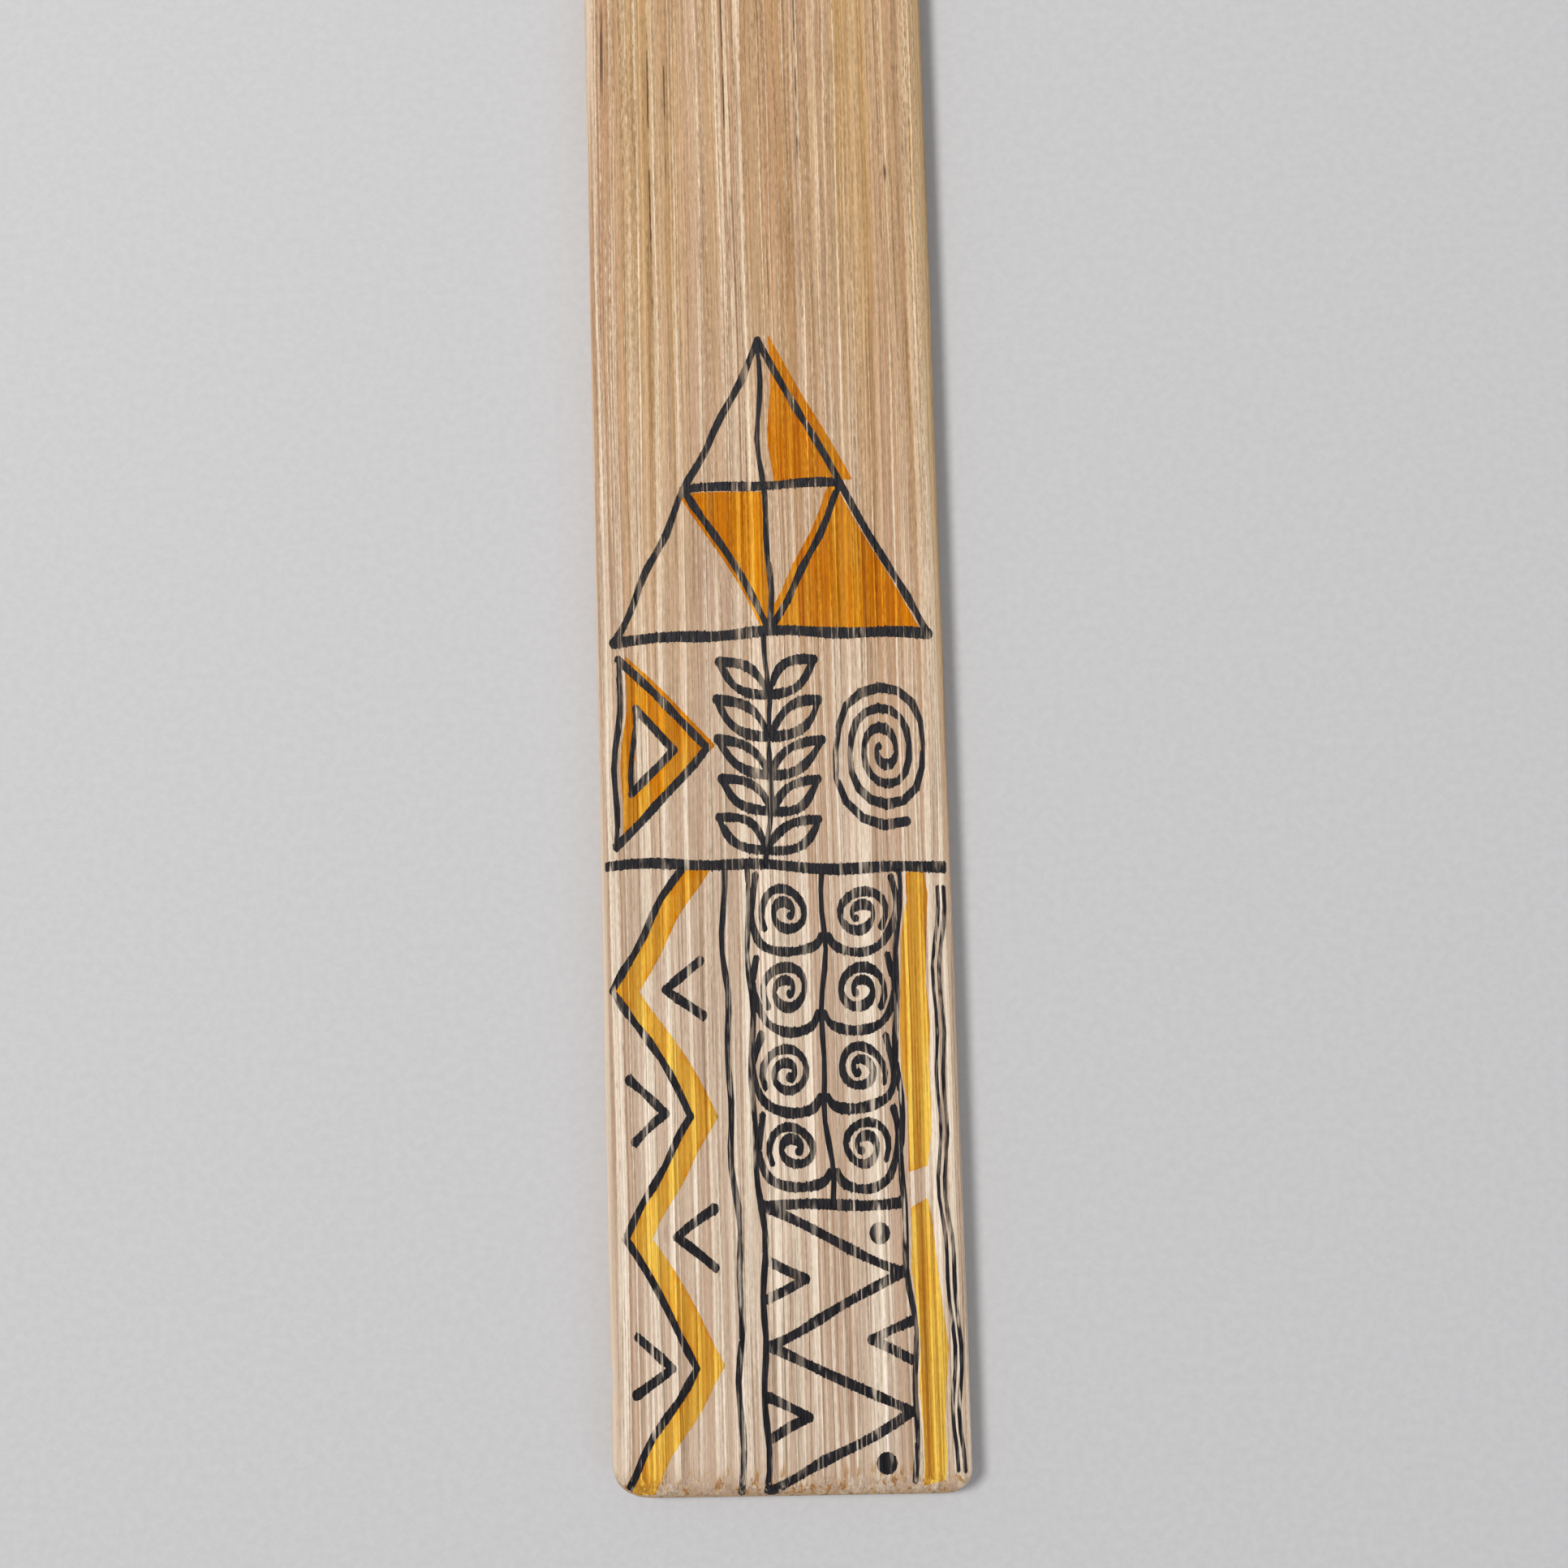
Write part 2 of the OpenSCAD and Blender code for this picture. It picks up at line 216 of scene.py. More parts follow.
def relief(x, y):
    """How far the worn surface lies below the true one."""
    fibre = fibre_place(x, y)
    depth = np.zeros_like(x)
    for at, low, high, half, deep in GROOVES:
        fade = min(CRACK_FADE, (high - low) / 2)
        along = smooth(low, low + fade, y) * (1 - smooth(high - fade, high, y))
        depth = np.maximum(depth, deep * along * np.exp(-((fibre - at) / half) ** 2))
    swell = SWELL * (1 + np.sin(1.7 * x + 0.05 * y) * np.sin(0.6 * x - 0.03 * y + 1))
    return (depth + swell) * smooth(*RELIEF_MARGIN, edge_distance(x, y))


def broken_grain(x, y):
    """Small pits where the fibres are cut off by the sanding at the square end."""
    pits = np.sin(9.1 * x + 1.3) * np.sin(23.7 * x + 0.6 * y) * np.sin(3.1 * x - 0.8 * y)
    inner, outer = (smooth(END + zone[0], END + zone[1], y) for zone in (PITS_INNER, PITS_OUTER))
    return PIT_DEPTH * inner * outer * np.clip(pits, 0, 1) ** 2


def rounded(distance, radius):
    """Fall of a quarter-round arris at that distance in from the edge."""
    return arc(radius, np.clip(radius - distance, 0, radius))


def arris_radius(y):
    """Radius of the worn arris at y."""
    return ARRIS + (NOSE_ARRIS - ARRIS) * smooth(*ARRIS_ZONE, y)


def surface(x, y):
    """Height of the finished top surface."""
    fall = rounded(edge_distance(x, y), arris_radius(y))
    return top_height(y) - fall - relief(x, y) - broken_grain(x, y)


# ---- Mesh of the strip ----

# Columns this far apart up to a band of this width along the edge, rows this far apart, and this many rows
# of faces down the wall
COLUMN = 0.1
BAND = 1.5
ROW = 1.0
WALL_ROWS = 4
# Columns over the arris and rows round the corners and the nose, by their angle in degrees
ARRIS_ANGLES = [75, 60, 45, 30, 15, 0]
CORNER_ANGLES = range(0, 91, 6)
NOSE_END_ANGLE = 84
NOSE_ROWS = 16
# The long edges are worn this far in, and the nick on the left one has this y, half length and depth
WEAR_REACH = 1.2
NICK = (-67.6, 0.7, 0.28)
# Waves of the long edges: size, length over a full turn's 6.28, and how far each edge's is turned
EDGE_WAVES = ((0.02, 6.3, 2), (0.012, 1.9, 1))
# The underside is less worn: its arris and its relief as shares of the top's
UNDER_ARRIS = 0.8
UNDER_RELIEF = 0.6


def steps(low, high, size):
    """Even places from low to high, about that size apart."""
    return np.linspace(low, high, max(2, round((high - low) / size) + 1))


def column_places():
    """Columns of the strip's mesh as distances from the middle line: even, then closer over the arris."""
    inner = steps(0, HALF - BAND, COLUMN)
    band = HALF - steps(BAND, ARRIS, 2 * COLUMN)
    arris = HALF - ARRIS * (1 - np.cos(np.radians(ARRIS_ANGLES)))
    half = np.concatenate([inner, band[1:], arris])
    return np.concatenate([-half[:0:-1], half])


def row_places():
    """Rows of the strip's mesh: closer round the corners, the sanded end and the nose."""
    corner = END + CORNER_LEFT * (1 - np.cos(np.radians(CORNER_ANGLES)))
    body = steps(END + CORNER_LEFT, NOSE_JOIN, ROW)
    angles = np.linspace(SIDE_SWEEP, math.radians(NOSE_END_ANGLE), NOSE_ROWS)
    nose = NOSE + NOSE_RADIUS * np.sin(angles)
    return np.concatenate([corner, body[1:], nose[1:]])


def plan_grid():
    """x and y of the mesh points. Columns run straight along the grain until they meet the edge band."""
    nominal, y = np.meshgrid(column_places(), row_places())
    width = np.where(nominal < 0, half_width(y, -1), half_width(y, 1))
    band = np.minimum(BAND, width)
    start = width - band
    reach = np.abs(nominal)
    squeezed = start + band * (reach - start) / (HALF - start)
    return np.sign(nominal) * np.where(reach < start, reach, squeezed), y


def edge_wear(x, y, side):
    """Waviness of the long edges, and one small nick low on the left."""
    wave = sum(size * (1 + np.sin(y / length + turn * side)) for size, length, turn in EDGE_WAVES)
    at, half, deep = NICK
    nick = deep * np.exp(-((y - at) / half) ** 2) * (x < 0)
    return wave + nick


def loop_of(grid):
    """Numbers of the points round a grid, anticlockwise seen from above."""
    return np.concatenate([grid[0, :-1], grid[:-1, -1], grid[-1, :0:-1], grid[:0:-1, 0]])


def grid_faces(grid, flip=False):
    """The grid's quads, facing up, or down where flipped."""
    quads = np.stack([grid[:-1, :-1], grid[:-1, 1:], grid[1:, 1:], grid[1:, :-1]], -1).reshape(-1, 4)
    return quads[:, ::-1] if flip else quads


def strip_mesh():
    """The strip as one closed surface: top, underside, and the wall that joins them round the outline."""
    x, y = plan_grid()
    side = np.sign(x)
    x = x - side * edge_wear(x, y, side) * smooth(WEAR_REACH, 0, edge_distance(x, y))
    under = rounded(edge_distance(x, y), UNDER_ARRIS * arris_radius(y)) + UNDER_RELIEF * relief(-x, y)
    top = np.stack([x, y, surface(x, y)], -1)
    bottom = np.stack([x, y, under], -1)
    number = np.arange(x.size).reshape(x.shape)
    rim = loop_of(number)
    points = [top.reshape(-1, 3), bottom.reshape(-1, 3)]
    faces = [grid_faces(number), grid_faces(number + x.size, flip=True)]
    upper = rim
    count = 2 * x.size
    for i in range(1, WALL_ROWS + 1):
        if i < WALL_ROWS:
            share = i / WALL_ROWS
            points.append(points[0][rim] * (1 - share) + points[1][rim] * share)
            lower = np.arange(count, count + len(rim))
            count += len(rim)
        else:
            lower = rim + x.size
        faces.append(np.stack([upper, lower, np.roll(lower, -1), np.roll(upper, -1)], -1))
        upper = lower
    mesh = bpy.data.meshes.new("bamboo_strip_wood")
    mesh.from_pydata((np.concatenate(points) * MM).tolist(), [], np.concatenate(faces).tolist())
    mesh.validate()
    mesh.shade_smooth()
    return mesh


def add_strip(material):
    """The visible strip, in place of the CAD one."""
    mesh = strip_mesh()
    mesh.materials.append(material)
    piece = add_object("bamboo_strip_wood", mesh)
    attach(piece, "root")
    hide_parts("bamboo_strip")


# ---- Ink films ----

FILM_COLUMN = 0.1
# Tops of the films over the wood, their undersides below it, and how far ink spreads all round
PEN_HEIGHT = 0.03
MARKER_HEIGHT = 0.02
FILM_DEPTH = 0.015
INK_SPREAD = 0.03
# How far each ink runs along the grain
MARKER_REACH = 0.13
PEN_REACH = 0.09
# How much further the few fibres that carry ink take it, as a share of that
RARE_REACH = 1.3
# A fibre's two ends bleed unlike each other
END_SHIFT = 0.8
# Rows of the films from the square end: over the sanded end, and from where they are even
ROLLED_ROWS = (0.3, 0.6, 1, 1.5, 2)
EVEN_ROWS_FROM = 2.5
# Films are laid by the height this far in from the square end at the least
END_MARGIN = 0.05
# Points closer than this, in metres, are one
WELD = 1e-7
# A CAD face that points up has a normal with more z than this, and flat faces meet at less than this angle
FACING_UP = 0.5
FLAT_ANGLE = 0.01
# Film edges turned by more than this, in degrees, are sharp
SHARP_ANGLE = 50
UNFOLD_PASSES = 3


def bleed(x, reach, seed):
    """How far ink has run along the grain at x. Most fibres hold it, and a few carry it further."""
    fine = 0.5 + 0.5 * np.sin(61 * x + seed) * np.sin(37.3 * x + 2 * seed)
    rare = np.clip(np.sin(5.3 * x + seed) * np.sin(17.9 * x + 3 * seed), 0, 1) ** 3
    return reach * (fine + RARE_REACH * rare)


def cut_along_grain(bm):
    """Cuts a flat film at every fibre column, and across at every row."""
    xs = [v.co.x / MM for v in bm.verts]
    ys = [v.co.y / MM for v in bm.verts]
    first, last = math.ceil(min(xs) / FILM_COLUMN), math.floor(max(xs) / FILM_COLUMN)
    for x in np.arange(first, last + 1) * FILM_COLUMN:
        near = [f for f in bm.faces if max(v.co.x for v in f.verts) > x * MM]
        cut(bm, near, (x * MM, 0, 0), (1, 0, 0))
    rolled = [END + row for row in ROLLED_ROWS]
    body = np.arange(math.ceil(END + EVEN_ROWS_FROM), max(ys), ROW)
    for y in [*rolled, *body]:
        if min(ys) < y < max(ys):
            cut(bm, bm.faces[:], (0, y * MM, 0), (0, 1, 0))


def cut(bm, faces, point, normal):
    """Cuts the faces along a plane."""
    edges = {e for f in faces for e in f.edges}
    corners = {v for f in faces for v in f.verts}
    bmesh.ops.bisect_plane(bm, geom=[*faces, *edges, *corners], dist=WELD, plane_co=point, plane_no=normal)


def fray(bm, reach, seed):
    """Spreads the film's edge a little all round, and further along the grain, fibre by fibre."""
    pushes = {}
    for e in bm.edges:
        if len(e.link_faces) != 1:
            continue
        inside = e.link_faces[0].calc_center_median()
        run = e.verts[1].co - e.verts[0].co
        out = Vector((run.y, -run.x, 0)).normalized()
        if out.dot(e.verts[0].co - inside) < 0:
            out = -out
        for v in e.verts:
            pushes.setdefault(v, Vector()).xy += out.xy * run.length
    before = {v: v.co.copy() for v in pushes}
    for v, push in pushes.items():
        if push.length > 0:
            share = push.normalized().y
            v.co += push.normalized() * INK_SPREAD * MM
            v.co.y += share * bleed(v.co.x / MM, reach, seed + math.copysign(END_SHIFT, share)) * MM
    unfold(bm, before)


def unfold(bm, before):
    """Puts back the edge of any face that the spreading has turned over."""
    for _ in range(UNFOLD_PASSES):
        bm.normal_update()
        for f in [f for f in bm.faces if f.normal.z < 0]:
            for v in f.verts:
                v.co = before.get(v, v.co)


def film_mesh(node, height, reach, seed):
    """A thin closed film with a CAD film's outline, which follows the wood and is frayed along the grain."""
    bm = bmesh.new()
    bm.from_mesh(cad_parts[node].data)
    pooled = bm.verts.layers.float.new("pooled")
    bmesh.ops.delete(bm, geom=[f for f in bm.faces if f.normal.z < FACING_UP], context="FACES")
    bmesh.ops.remove_doubles(bm, verts=bm.verts, dist=WELD)
    for v in bm.verts:
        v.co.z = 0
    bmesh.ops.dissolve_limit(bm, angle_limit=FLAT_ANGLE, verts=bm.verts, edges=bm.edges)
    cut_along_grain(bm)
    fray(bm, reach, seed)
    top = list(bm.verts)
    for v in top:
        v[pooled] = float(v.is_boundary)
    under = bmesh.ops.extrude_face_region(bm, geom=bm.faces[:], use_keep_orig=True)
    low = [g for g in under["geom"] if isinstance(g, bmesh.types.BMVert)]
    lay_on_wood(top, height)
    lay_on_wood(low, -FILM_DEPTH)
    bmesh.ops.recalc_face_normals(bm, faces=bm.faces)
    mesh = bpy.data.meshes.new(node + "_film")
    bm.to_mesh(mesh)
    bm.free()
    mesh.shade_smooth()
    mesh.set_sharp_from_angle(angle=math.radians(SHARP_ANGLE))
    return mesh


def lay_on_wood(verts, height):
    """Moves points up or down to that height over the wood."""
    co = np.array([v.co for v in verts]) / MM
    z = surface(co[:, 0], np.maximum(co[:, 1], END + END_MARGIN)) + height
    for v, h in zip(verts, z):
        v.co.z = h * MM


def add_films(prefix, material, height, reach):
    """A film for each CAD node whose name starts with the prefix."""
    for seed, node in enumerate(sorted(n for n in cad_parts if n.startswith(prefix))):
        mesh = film_mesh(node, height, reach, seed)
        mesh.materials.clear()
        mesh.materials.append(material)
        film = add_object(mesh.name, mesh)
        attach(film, "root")
        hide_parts(node)


# ---- Materials ----

def put(tree, kind, settings=None, **inputs):
    """Adds a node. An input is a value or the socket that feeds it. A1, A2 and so on are inputs by place."""
    node = tree.nodes.new(kind)
    for name, value in (settings or {}).items():
        setattr(node, name, value)
    for name, value in inputs.items():
        socket = node.inputs[int(name[1:]) - 1] if name[1:].isdigit() else node.inputs[name]
        if isinstance(value, bpy.types.NodeSocket):
            tree.links.new(value, socket)
        else:
            socket.default_value = value
    return node


def maths(tree, operation, a, b=0.0, clamp=False):
    settings = {"operation": operation, "use_clamp": clamp}
    return put(tree, "ShaderNodeMath", settings, A1=a, A2=b).outputs[0]


def times(tree, a, b):
    return maths(tree, "MULTIPLY", a, b)


# Places of a Mix node's two colours, and of the colour that it gives
COLOUR_A, COLOUR_B, COLOUR_OUT = 6, 7, 2


def blend(tree, share, a, b, mode="MIX"):
    """Colour b over colour a by the share."""
    settings = {"data_type": "RGBA", "blend_type": mode, "clamp_factor": True}
    node = put(tree, "ShaderNodeMix", settings, A1=share)
    for socket, value in ((node.inputs[COLOUR_A], a), (node.inputs[COLOUR_B], b)):
        if isinstance(value, bpy.types.NodeSocket):
            tree.links.new(value, socket)
        else:
            socket.default_value = (*value, 1)
    return node.outputs[COLOUR_OUT]


def rise(tree, value, low, high, out_low=0.0, out_high=1.0):
    """Maps a value from low..high to out_low..out_high with a smooth step, and holds it beyond."""
    settings = {"interpolation_type": "SMOOTHSTEP"}
    ends = {"A2": low, "A3": high, "A4": out_low, "A5": out_high}
    return put(tree, "ShaderNodeMapRange", settings, A1=value, **ends).outputs[0]


def weigh(tree, *terms):
    """The sum of the sockets, each times its weight."""
    total = 0.0
    for socket, weight in terms:
        total = maths(tree, "ADD", total, times(tree, socket, weight))
    return total


def place_in_mm(tree):
    """The point in the CAD frame, in millimetres."""
    metres = put(tree, "ShaderNodeTexCoord").outputs["Object"]
    return put(tree, "ShaderNodeVectorMath", {"operation": "SCALE"}, A1=metres, Scale=1 / MM).outputs[0]


def parts(tree, vector):
    """x, y and z of a vector."""
    return put(tree, "ShaderNodeSeparateXYZ", A1=vector).outputs


def fibres(tree, place, across, along, shift, detail=2.0):
    """Noise drawn out along the grain. The list of noises below says what its numbers are."""
    scale = (across, along, across)
    stretch = put(tree, "ShaderNodeMapping", Vector=place, Scale=scale, Location=(shift, 3 * shift, 0))
    settings = {"Scale": 1.0, "Detail": detail, "Roughness": FIBRE_ROUGHNESS}
    return put(tree, "ShaderNodeTexNoise", Vector=stretch.outputs[0], **settings).outputs["Fac"]


FIBRE_ROUGHNESS = 0.55
# Noises drawn out along the grain: their waves to a millimetre across it and along it, a shift that sets
# each one apart, and their detail where it isn't 2
SPECKS = (8, 1.6, 53, 3)
PRESENT = (0.9, 0.06, 19, 3)
BROAD = (0.3, 0.006, 11)
MIDDLE = (1.1, 0.008, 23)
NARROW = (3.2, 0.04, 31)
LONG_HAIR = (7, 0.02, 47)
SHORT_HAIR = (11, 0.35, 41)
BUNDLES = (1.5, 0.007, 61)
THICK_THREADS = (2.3, 0.005, 71)
THIN_THREADS = (4.6, 0.009, 77)
GAPS = (4.2, 0.02, 83)
PORES = (7, 0.6, 97)
OPENINGS = (1.3, 0.3, 67)
REDNESS = (0.4, 0.008, 7)
SINGEING = (2.3, 0.7, 13, 4)
EDGE_STREAKS = (1.6, 0.02, 3)
PEN_WASH = (6, 0.5, 17, 3)
PEN_SKIPS = (2.5, 0.35, 29)
MARKER_STROKES = (0.8, 0.16, 37, 3)
MARKER_STREAKS = (5, 0.05, 43)
RUSTY_FIBRES = (3.2, 0.012, 59)

# The wood changes from the square end's look at the first y to the bare wood's look at the second, its pale
# bundles fade over the second pair, and its right edge browns over the third
WOOD_ZONE = (-45.0, 25.0)
BUNDLE_ZONE = (-50.0, 20.0)
BROWN_ZONE = (-40.0, 0.0)
# Noise at which a bundle starts and is full, and at which the painted shade on its rim starts and ends on
# either side
BUNDLE_FROM = (0.54, 0.60)
SHADE_RIM_OUTSIDE = (0.485, 0.51)
SHADE_RIM_INSIDE = (0.545, 0.52)
# How fast red, green and blue fade as a fibre darkens
WARMTH = (1.0, 1.15, 1.4)

# Bare wood near the square end and beyond the pattern, and the pale fibres of each
PINK_TAN = (0.525, 0.35, 0.235)
TAN = (0.475, 0.27, 0.14)
GOLDEN = (0.54, 0.31, 0.105)
RED_TAN = (0.47, 0.25, 0.125)
LOW_CREAM = (0.88, 0.735, 0.575)
HIGH_CREAM = (0.83, 0.63, 0.425)
BROWN = (0.21, 0.10, 0.035)
DARK_BROWN = (0.085, 0.038, 0.014)


def fibre_line(tree, x, y):
    """The same place across the strip as fibre_place gives."""
    moved = x
    for size, wave, turn in SWAYS:
        angle = maths(tree, "ADD", times(tree, y, 1 / wave), times(tree, x, turn))
        moved = maths(tree, "ADD", moved, times(tree, maths(tree, "SINE", angle), size))
    return moved


def crack_lines(tree, fibre, y, grit):
    """1 in a crack and 0 beside it, thinning out towards its ends."""
    ragged = maths(tree, "ADD", fibre, times(tree, grit, 0.5))
    total = None
    for at, low, high, half, _ in CRACKS:
        off = maths(tree, "ABSOLUTE", maths(tree, "SUBTRACT", ragged, at))
        fade = min(CRACK_FADE, (high - low) / 2)
        along = times(tree, rise(tree, y, low, low + fade), rise(tree, y, high, high - fade))
        line = times(tree, rise(tree, off, half, 0.3 * half), along)
        total = line if total is None else maths(tree, "MAXIMUM", total, line)
    return total


def bamboo_group():
    """Colour, roughness, height, pale-fibre mask and cracks of bamboo at any point of the frame.

    The noise is even across the strip and up through it, and drawn out along it, so that the faces show
    the fibre bundles as stripes.
    """
    tree = bpy.data.node_groups.new("bamboo", "ShaderNodeTree")
    tree.interface.new_socket(name="Colour", in_out="OUTPUT", socket_type="NodeSocketColor")
    for name in ("Roughness", "Height", "Pale", "Crack"):
        tree.interface.new_socket(name=name, in_out="OUTPUT", socket_type="NodeSocketFloat")
    x, y, z = parts(tree, place_in_mm(tree))
    fibre = fibre_line(tree, x, y)
    deep = maths(tree, "SUBTRACT", z, TOP / 2)
    place = put(tree, "ShaderNodeCombineXYZ", A1=fibre, A2=y, A3=deep).outputs[0]

    up = rise(tree, y, *WOOD_ZONE)
    # Specks a tenth of a millimetre wide roughen the edges of the longer fibres, least near the square end
    specks = fibres(tree, place, *SPECKS)
    grit = times(tree, maths(tree, "SUBTRACT", specks, 0.5), rise(tree, y, *WOOD_ZONE, 0.04, 0.10))
    present = rise(tree, fibres(tree, place, *PRESENT), 0.36, 0.60)
    broad = rise(tree, fibres(tree, place, *BROAD), 0.38, 0.62)
    middle = rise(tree, fibres(tree, place, *MIDDLE), 0.40, 0.60)
    narrow = rise(tree, fibres(tree, place, *NARROW), 0.34, 0.66)
    long_hair = fibres(tree, place, *LONG_HAIR)
    short_hair = fibres(tree, place, *SHORT_HAIR)
    bundle = maths(tree, "ADD", fibres(tree, place, *BUNDLES), grit)
    bundles = rise(tree, bundle, *BUNDLE_FROM)
    # Painted shade: a band just round the edge of each pale bundle
    bundle_rim_shade = times(tree, rise(tree, bundle, *SHADE_RIM_OUTSIDE), rise(tree, bundle, *SHADE_RIM_INSIDE))
    thick = maths(tree, "ADD", fibres(tree, place, *THICK_THREADS), grit)
    thin = maths(tree, "ADD", fibres(tree, place, *THIN_THREADS), grit)
    thick = times(tree, rise(tree, thick, 0.57, 0.605), rise(tree, present, 0.0, 1.0, 0.3, 1.0))
    thin = times(tree, rise(tree, thin, 0.58, 0.63), rise(tree, present, 0.0, 1.0, 0.8, 0.4))
    threads = maths(tree, "MAXIMUM", thick, thin)
    dark = maths(tree, "ADD", fibres(tree, place, *GAPS), grit)
    gaps = times(tree, rise(tree, dark, 0.42, 0.36), rise(tree, present, 0.0, 1.0, 1.0, 0.25))
    pores = rise(tree, fibres(tree, place, *PORES), 0.64, 0.72)
    open_here = rise(tree, fibres(tree, place, *OPENINGS), 0.40, 0.55, 0.25, 1.0)
    crack = times(tree, crack_lines(tree, fibre, y, grit), open_here)

    # Paler and pinker towards the square end, and more golden beyond the pattern
    cream = blend(tree, up, LOW_CREAM, HIGH_CREAM)
    ground = blend(tree, up, PINK_TAN, TAN)
    ground = blend(tree, times(tree, times(tree, broad, up), 0.8), ground, GOLDEN)
    reddish = times(tree, rise(tree, fibres(tree, place, *REDNESS), 0.46, 0.62), up)
    ground = blend(tree, times(tree, reddish, 0.7), ground, RED_TAN)
    colour = blend(tree, times(tree, middle, rise(tree, y, *WOOD_ZONE, 0.3, 0.2)), ground, cream)
    shown = times(tree, bundles, rise(tree, y, *BUNDLE_ZONE, 0.85, 0.2))
    colour = blend(tree, shown, colour, cream)
    # Painted shade: a thin brown rim round each pale bundle, in place of the shadow beside a raised fibre
    colour = blend(tree, times(tree, bundle_rim_shade, 0.16), colour, BROWN)
    colour = blend(tree, times(tree, threads, 0.8), colour, cream)
    colour = blend(tree, times(tree, gaps, rise(tree, y, *WOOD_ZONE, 0.42, 0.3)), colour, BROWN)
    colour = blend(tree, times(tree, pores, 0.3), colour, BROWN)
    # The darker a fibre is, the warmer
    fine = weigh(tree, (short_hair, 0.6), (specks, 0.7))
    fine = times(tree, maths(tree, "SUBTRACT", fine, 0.65), rise(tree, y, *WOOD_ZONE, 0.6, 1.1))
    tone = weigh(tree, (narrow, 0.1), (long_hair, 0.9), (fine, 1.0))
    tone = maths(tree, "ADD", tone, 0.5)
    red, green, blue = (maths(tree, "POWER", tone, power) for power in WARMTH)
    shade = put(tree, "ShaderNodeCombineXYZ", A1=red, A2=green, A3=blue).outputs[0]
    colour = blend(tree, 1.0, colour, shade, "MULTIPLY")

    hollows = ((gaps, -0.9), (crack, -1.5))
    ridges = ((narrow, 0.3), (short_hair, 0.8), (threads, 0.8), (bundles, 0.4), (specks, 0.8))
    height = weigh(tree, *ridges, *hollows)
    rough = maths(tree, "SUBTRACT", 0.6, times(tree, bundles, 0.12))
    rough = maths(tree, "ADD", rough, times(tree, gaps, 0.15))
    pale = maths(tree, "MAXIMUM", times(tree, bundles, 0.35), threads)
    out = put(tree, "NodeGroupOutput")
    results = {"Colour": colour, "Roughness": rough, "Height": height, "Pale": pale, "Crack": crack}
    for name, socket in results.items():
        tree.links.new(socket, out.inputs[name])
    return tree


# Bump strength and specular level of the wood and the inks
WOOD_BUMP = 0.9
INK_BUMP = 0.8
WOOD_GLOSS = 0.35
PEN_GLOSS = 0.15
MARKER_GLOSS = 0.04


def new_material(name, group, gloss):
    """A material with the bamboo group in it. Gives it, its tree and shader, and the group's node."""
    material = bpy.data.materials.new(name)
    material.use_nodes = True
    tree = material.node_tree
    shader = tree.nodes["Principled BSDF"]
    shader.inputs["Specular IOR Level"].default_value = gloss
    wood = put(tree, "ShaderNodeGroup", {"node_tree": group})
    return material, tree, shader, wood


def feed(tree, shader, colour, rough, height, bump, depth=0.06):
    """Links the shader's colour, roughness and bump. The bump is depth millimetres high."""
    tree.links.new(colour, shader.inputs["Base Color"])
    tree.links.new(rough, shader.inputs["Roughness"])
    relief_node = put(tree, "ShaderNodeBump", Strength=bump, Distance=depth * MM, Height=height)
    tree.links.new(relief_node.outputs[0], shader.inputs["Normal"])


# Specks where the square end is sanded down and the wood round them, a painted highlight on its very rim,
# the browner right edge, the bundles on a face across the grain, and the sides of the tip
SCORCHED = (0.36, 0.15, 0.035)
SINGED = (0.70, 0.43, 0.17)
RIM_HIGHLIGHT = (0.53, 0.345, 0.155)
OLIVE_BROWN = (0.36, 0.26, 0.13)
BUNDLE_BROWN = (0.17, 0.085, 0.03)
SAWN_TAN = (0.50, 0.32, 0.17)
# Distances in from the square end where the worn look and the painted highlight on the rim start and are
# full, and in from the left edge, for its painted highlight, and the right edge, for its browning, where
# theirs do
WORN_FROM = (3.4, 1.0)
RIM_HIGHLIGHT_FROM = (0.9, 0.1)
LEFT_HIGHLIGHT_FROM = (0.9, 0.3)
RIGHT_FROM = (1.0, 0.5)
# The tip's sides take their look over this length
SAWN_LENGTH = 6.0


def cut_across(tree):
    """How squarely the surface cuts the grain: 0 along the strip, 1 on a face across it."""
    _, along, _ = parts(tree, put(tree, "ShaderNodeTexCoord").outputs["Normal"])
    return maths(tree, "ABSOLUTE", along)


# Bundles to a millimetre across the strip, along it and up through it
BUNDLE_PACKING = (1.9, 0.1, 1.6)


def cut_bundles(tree, mm, across_grain):
    """1 on the dark dots of the fibre bundles where the grain is cut across, 0 elsewhere."""
    packed = put(tree, "ShaderNodeMapping", Vector=mm, Scale=BUNDLE_PACKING).outputs[0]
    centre = put(tree, "ShaderNodeTexVoronoi", Vector=packed, Scale=1.0).outputs["Distance"]
    return times(tree, rise(tree, centre, 0.42, 0.22), rise(tree, across_grain, 0.5, 0.85))


